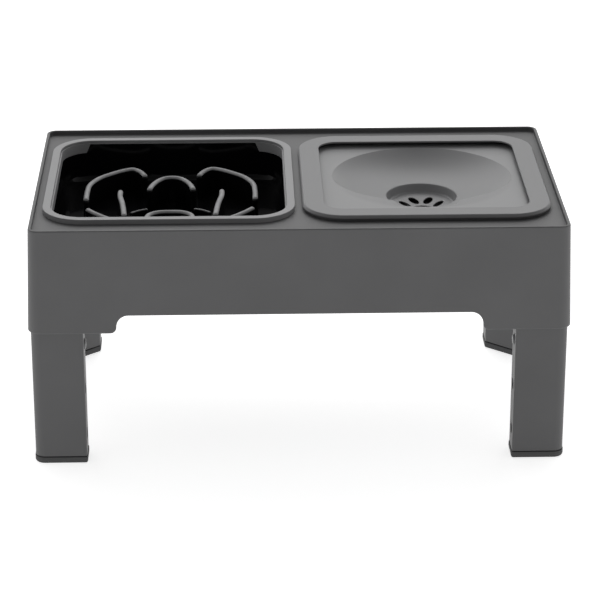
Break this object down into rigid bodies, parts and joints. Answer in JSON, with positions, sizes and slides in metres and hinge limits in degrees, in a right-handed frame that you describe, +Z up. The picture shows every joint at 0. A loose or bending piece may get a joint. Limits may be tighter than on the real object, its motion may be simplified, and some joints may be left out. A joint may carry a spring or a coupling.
{
  "type": "raised pet feeding table",
  "caption": "Raised feeding table with a skirted tray on folding, telescoping legs, a maze slow-feeder bowl and a no-spill water bowl with a floating disc.",
  "frame": {"origin": "on the floor, under the middle of the tray, legs unfolded and pushed in", "axes": "+X to the right along the tray's length, -Y towards the front, +Z up"},
  "size_m": [0.431, 0.256, 0.2013],
  "materials": {
    "dark_grey_plastic": "fine moulded texture",
    "leg_grey_plastic": "fine moulded texture",
    "mid_grey_plastic": "satin",
    "light_grey_plastic": "satin",
    "gloss_black_plastic": "gloss",
    "sole_rubber": "matt",
    "pin_steel": "satin"
  },
  "bodies": {
    "tray": {"tray": "dark_grey_plastic", "front_left_hinge_pin": "pin_steel", "front_right_hinge_pin": "pin_steel", "back_left_hinge_pin": "pin_steel", "back_right_hinge_pin": "pin_steel"},
    "front_left_outer_leg": {"front_left_outer_leg": "leg_grey_plastic"},
    "front_left_inner_leg": {"front_left_inner_leg": "leg_grey_plastic", "front_left_foot_cap": "sole_rubber"},
    "front_left_snap_button": {"front_left_snap_button": "light_grey_plastic"},
    "front_right_outer_leg": {"front_right_outer_leg": "leg_grey_plastic"},
    "front_right_inner_leg": {"front_right_inner_leg": "leg_grey_plastic", "front_right_foot_cap": "sole_rubber"},
    "front_right_snap_button": {"front_right_snap_button": "light_grey_plastic"},
    "back_left_outer_leg": {"back_left_outer_leg": "leg_grey_plastic"},
    "back_left_inner_leg": {"back_left_inner_leg": "leg_grey_plastic", "back_left_foot_cap": "sole_rubber"},
    "back_left_snap_button": {"back_left_snap_button": "light_grey_plastic"},
    "back_right_outer_leg": {"back_right_outer_leg": "leg_grey_plastic"},
    "back_right_inner_leg": {"back_right_inner_leg": "leg_grey_plastic", "back_right_foot_cap": "sole_rubber"},
    "back_right_snap_button": {"back_right_snap_button": "light_grey_plastic"},
    "slow_feeder_bowl": {"slow_feeder_bowl": "gloss_black_plastic"},
    "bowl_frame_ring": {"bowl_frame_ring": "light_grey_plastic"},
    "water_bowl": {"water_bowl": "dark_grey_plastic"},
    "splash_ring": {"splash_ring": "mid_grey_plastic"},
    "floating_disc": {"floating_disc": "light_grey_plastic"}
  },
  "joints": [
    {"name": "front_left_leg_fold", "type": "hinge", "parent": "tray", "child": "front_left_outer_leg", "pos_m": [-0.1926, -0.103, 0.1365], "axis": [0, -1, 0], "range_deg": [0, 90]},
    {"name": "front_left_leg_extend", "type": "slide", "parent": "front_left_outer_leg", "child": "front_left_inner_leg", "axis": [0, 0, 1], "range_m": [-0.078, 0], "deforming": ["front_left_snap_button"]},
    {"name": "front_left_button_press", "type": "slide", "parent": "front_left_inner_leg", "child": "front_left_snap_button", "axis": [-1, 0, 0], "range_m": [0, 0.0043], "stiffness_N_per_m": 1500, "deforming": ["front_left_snap_button"]},
    {"name": "front_right_leg_fold", "type": "hinge", "parent": "tray", "child": "front_right_outer_leg", "pos_m": [0.1926, -0.103, 0.1365], "axis": [0, 1, 0], "range_deg": [0, 90]},
    {"name": "front_right_leg_extend", "type": "slide", "parent": "front_right_outer_leg", "child": "front_right_inner_leg", "axis": [0, 0, 1], "range_m": [-0.078, 0], "deforming": ["front_right_snap_button"]},
    {"name": "front_right_button_press", "type": "slide", "parent": "front_right_inner_leg", "child": "front_right_snap_button", "axis": [1, 0, 0], "range_m": [0, 0.0043], "stiffness_N_per_m": 1500, "deforming": ["front_right_snap_button"]},
    {"name": "back_left_leg_fold", "type": "hinge", "parent": "tray", "child": "back_left_outer_leg", "pos_m": [-0.1926, 0.103, 0.1365], "axis": [0, -1, 0], "range_deg": [0, 90]},
    {"name": "back_left_leg_extend", "type": "slide", "parent": "back_left_outer_leg", "child": "back_left_inner_leg", "axis": [0, 0, 1], "range_m": [-0.078, 0], "deforming": ["back_left_snap_button"]},
    {"name": "back_left_button_press", "type": "slide", "parent": "back_left_inner_leg", "child": "back_left_snap_button", "axis": [-1, 0, 0], "range_m": [0, 0.0043], "stiffness_N_per_m": 1500, "deforming": ["back_left_snap_button"]},
    {"name": "back_right_leg_fold", "type": "hinge", "parent": "tray", "child": "back_right_outer_leg", "pos_m": [0.1926, 0.103, 0.1365], "axis": [0, 1, 0], "range_deg": [0, 90]},
    {"name": "back_right_leg_extend", "type": "slide", "parent": "back_right_outer_leg", "child": "back_right_inner_leg", "axis": [0, 0, 1], "range_m": [-0.078, 0], "deforming": ["back_right_snap_button"]},
    {"name": "back_right_button_press", "type": "slide", "parent": "back_right_inner_leg", "child": "back_right_snap_button", "axis": [1, 0, 0], "range_m": [0, 0.0043], "stiffness_N_per_m": 1500, "deforming": ["back_right_snap_button"]},
    {"name": "slow_bowl_lift", "type": "slide", "parent": "tray", "child": "slow_feeder_bowl", "axis": [0, 0, 1], "range_m": [0, 0.1]},
    {"name": "frame_ring_lift", "type": "slide", "parent": "slow_feeder_bowl", "child": "bowl_frame_ring", "axis": [0, 0, 1], "range_m": [0, 0.05]},
    {"name": "water_bowl_lift", "type": "slide", "parent": "tray", "child": "water_bowl", "axis": [0, 0, 1], "range_m": [0, 0.1]},
    {"name": "splash_ring_lift", "type": "slide", "parent": "water_bowl", "child": "splash_ring", "axis": [0, 0, 1], "range_m": [0, 0.06]},
    {"name": "disc_float", "type": "slide", "parent": "water_bowl", "child": "floating_disc", "axis": [0, 0, 1], "range_m": [0, 0.0032]}
  ]
}
